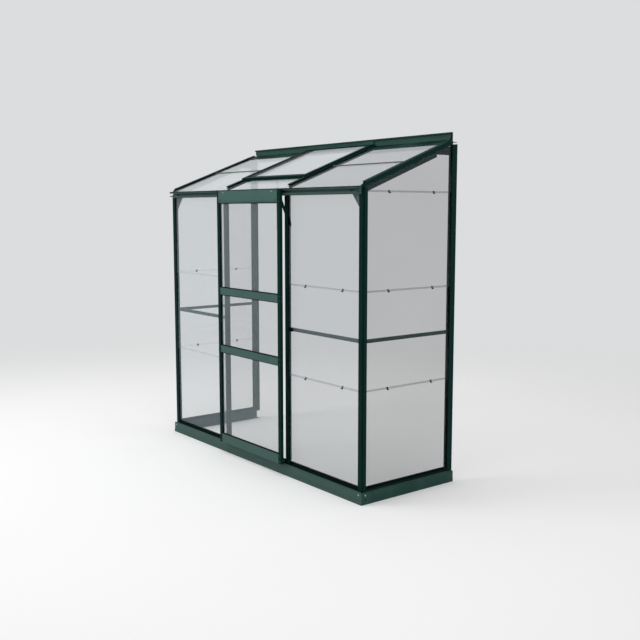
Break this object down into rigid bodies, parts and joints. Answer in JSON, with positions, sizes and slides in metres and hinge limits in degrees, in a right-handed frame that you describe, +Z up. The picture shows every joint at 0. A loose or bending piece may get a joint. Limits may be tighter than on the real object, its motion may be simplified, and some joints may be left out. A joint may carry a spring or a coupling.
{
  "type": "lean to greenhouse",
  "caption": "Lean-to greenhouse in green powder-coated aluminium with lapped glass, a hanging sliding door between glazing bars and a hinged roof vent.",
  "frame": {"origin": "on the ground, in the middle of the overall width and depth", "axes": "+Z up, +X to the right seen from the front, +Y towards the wall that it leans on"},
  "size_m": [1.922, 0.701, 1.882],
  "materials": {
    "powder_coat": "dark green satin powder coat",
    "glass": "clear horticultural glass",
    "roller_nylon": "dark nylon",
    "plated_steel": "zinc plated"
  },
  "bodies": {
    "frame": {"base_front": "powder_coat", "base_left": "powder_coat", "base_right": "powder_coat", "brace_end_left": "powder_coat", "brace_end_right": "powder_coat", "brace_front_left": "powder_coat", "brace_front_right": "powder_coat", "corner_post_left": "powder_coat", "corner_post_right": "powder_coat", "door_corner_brace": "powder_coat", "eaves_bar": "powder_coat", "gusset_front_left": "powder_coat", "gusset_front_right": "powder_coat", "mullion_left": "powder_coat", "mullion_right": "powder_coat", "pane_end_left_1": "glass", "pane_end_left_2": "glass", "pane_end_left_3": "glass", "pane_end_left_4": "glass", "pane_end_right_1": "glass", "pane_end_right_2": "glass", "pane_end_right_3": "glass", "pane_end_right_4": "glass", "pane_front_left_1": "glass", "pane_front_left_2": "glass", "pane_front_left_3": "glass", "pane_front_right_1": "glass", "pane_front_right_2": "glass", "pane_front_right_3": "glass", "pane_roof_left_1": "glass", "pane_roof_left_2": "glass", "pane_roof_middle": "glass", "pane_roof_right_1": "glass", "pane_roof_right_2": "glass", "rafter_end_left": "powder_coat", "rafter_end_right": "powder_coat", "rafter_middle_left": "powder_coat", "rafter_middle_right": "powder_coat", "ridge_bar": "powder_coat", "sill_front": "powder_coat", "sill_left": "powder_coat", "sill_right": "powder_coat", "vent_slam_bar": "powder_coat", "wall_post_left": "powder_coat", "wall_post_right": "powder_coat"},
    "door": {"door_bottom_rail": "powder_coat", "door_middle_rail_lower": "powder_coat", "door_middle_rail_upper": "powder_coat", "door_stile_left": "powder_coat", "door_stile_right": "powder_coat", "door_top_rail": "powder_coat", "pane_door_lower": "glass", "pane_door_middle": "glass", "pane_door_upper": "glass"},
    "roller_left": {"door_roller_left": "roller_nylon"},
    "roller_right": {"door_roller_right": "roller_nylon"},
    "vent": {"vent_frame": "powder_coat", "vent_pane": "glass"},
    "stay": {"vent_stay": "plated_steel"}
  },
  "joints": [
    {"name": "door_slide", "type": "slide", "parent": "frame", "child": "door", "axis": [1, 0, 0], "range_m": [-0.6, 0.6]},
    {"name": "roller_left_spin", "type": "hinge", "parent": "door", "child": "roller_left", "pos_m": [-0.245, -0.3117, 1.5759], "axis": [0, 1, 0], "continuous": true},
    {"name": "roller_right_spin", "type": "hinge", "parent": "door", "child": "roller_right", "pos_m": [0.245, -0.3117, 1.5759], "axis": [0, 1, 0], "continuous": true},
    {"name": "vent_hinge", "type": "hinge", "parent": "frame", "child": "vent", "pos_m": [0, 0.33, 1.876], "axis": [-1, 0, 0], "range_deg": [0, 32]},
    {"name": "stay_swing", "type": "hinge", "parent": "vent", "child": "stay", "pos_m": [0, -0.13434, 1.66249], "axis": [1, 0, 0], "range_deg": [0, 80]}
  ],
  "couplings": [
    {"joint": "roller_left_spin", "follows": "door_slide", "rad_per_m": 98.039},
    {"joint": "roller_right_spin", "follows": "door_slide", "rad_per_m": 98.039},
    {"joint": "stay_swing", "follows": "vent_hinge", "ratio": 2.4}
  ]
}
